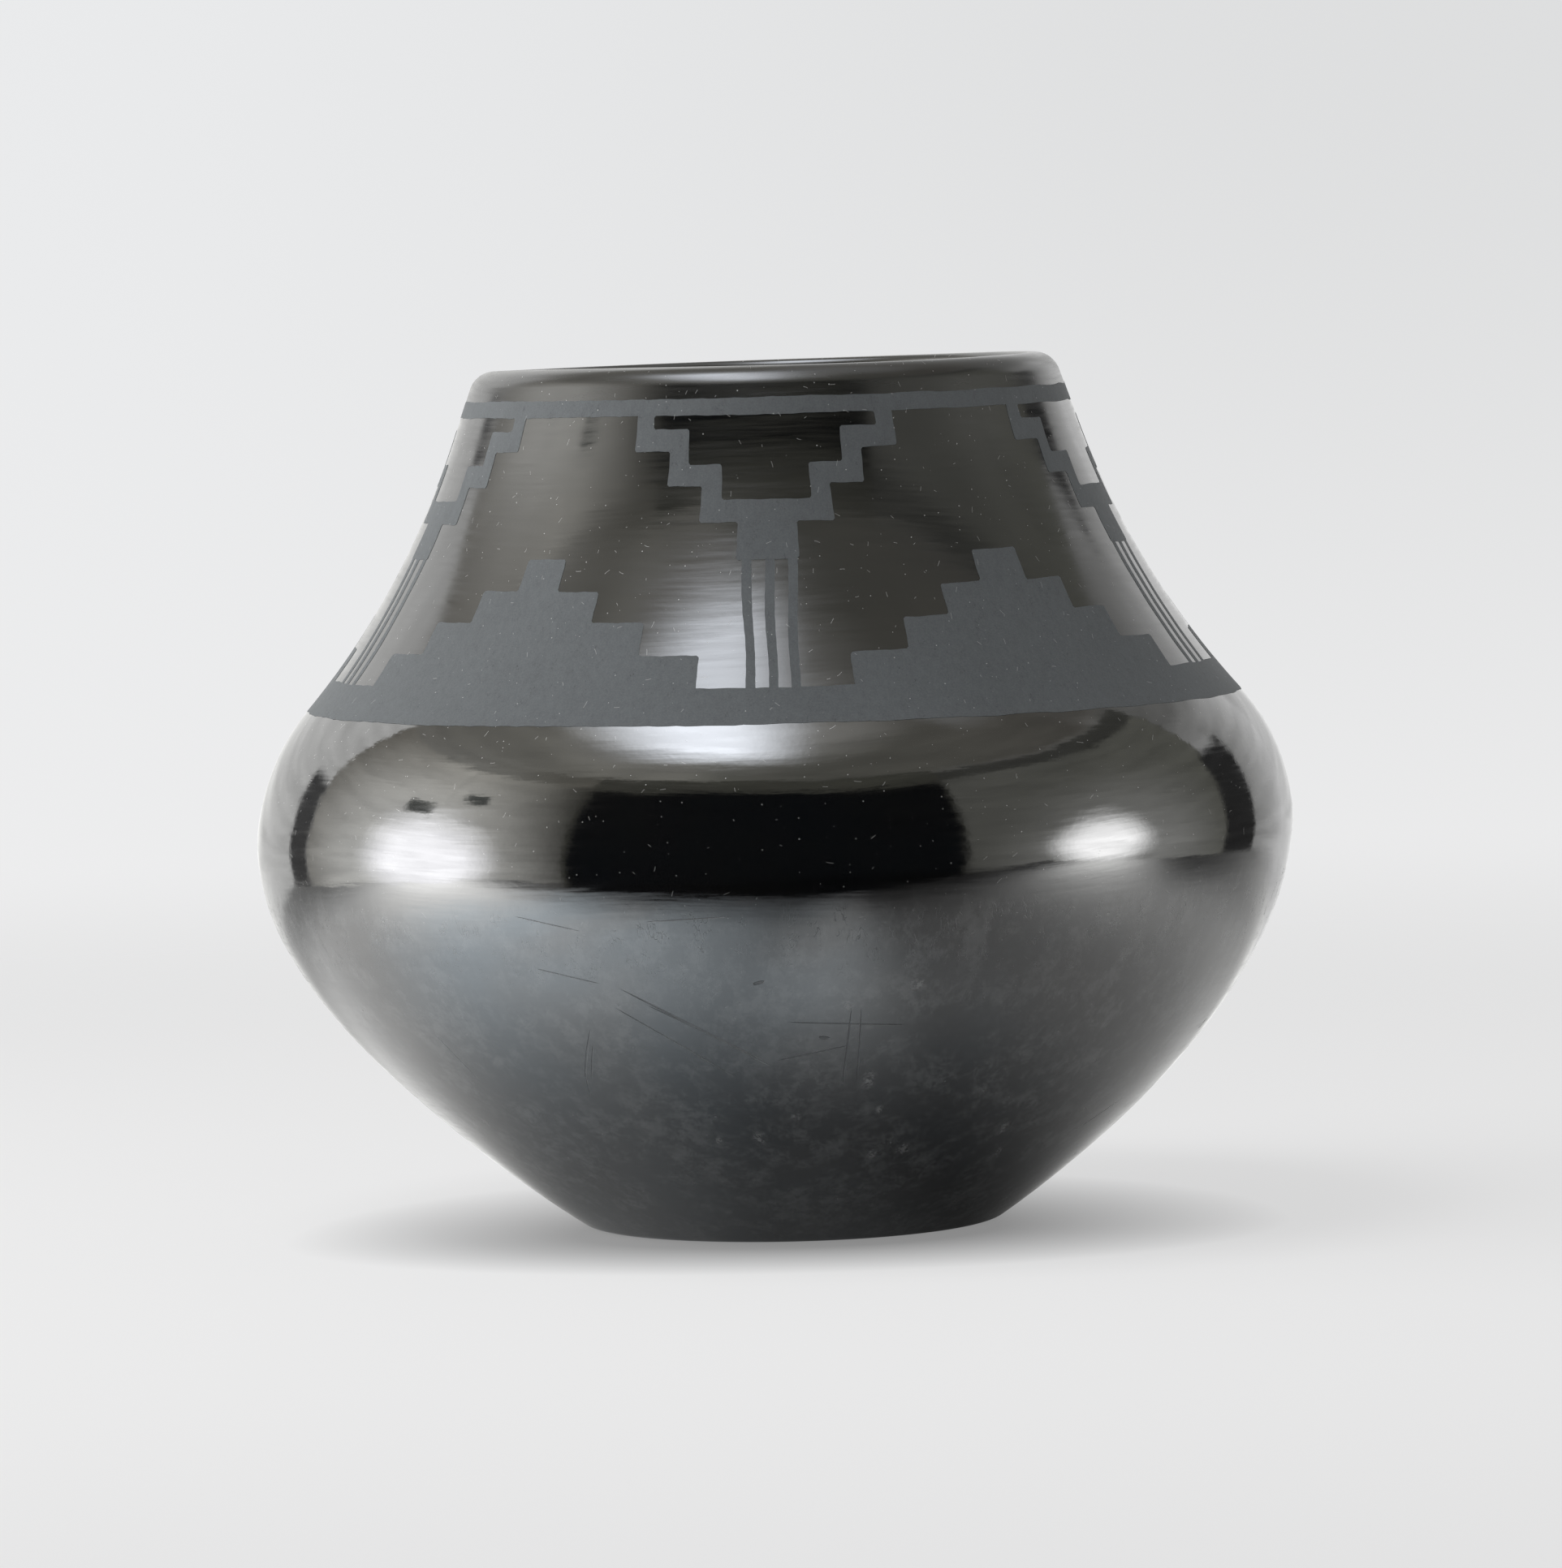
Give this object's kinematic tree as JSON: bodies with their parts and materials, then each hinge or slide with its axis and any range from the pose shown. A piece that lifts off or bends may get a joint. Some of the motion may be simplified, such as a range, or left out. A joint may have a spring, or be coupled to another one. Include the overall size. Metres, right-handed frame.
{
  "type": "pottery jar",
  "caption": "Coil-built burnished black pottery jar with a wide belly, sloping shoulder, rounded lip and a matte stepped band round the neck and shoulder",
  "frame": {"origin": "the centre of the foot, on the surface the jar stands on", "axes": "+Z is the jar's axis, pointing out of the mouth; -Y is the side the picture shows, with a hanging terrace at its middle"},
  "size_m": [0.254, 0.254, 0.2114],
  "materials": {
    "burnished_clay": "gloss",
    "matte_slip": "matte"
  },
  "bodies": {
    "root": {"pressed_base": "burnished_clay", "wall_coil_1": "burnished_clay", "wall_coil_2": "burnished_clay", "wall_coil_3": "burnished_clay", "wall_coil_4": "burnished_clay", "wall_coil_5": "burnished_clay", "wall_coil_6": "burnished_clay", "rim_coil": "burnished_clay", "neck_line": "matte_slip", "shoulder_band": "matte_slip", "hanging_terraces": "matte_slip", "rising_terraces": "matte_slip", "rain_lines": "matte_slip"}
  },
  "joints": []
}
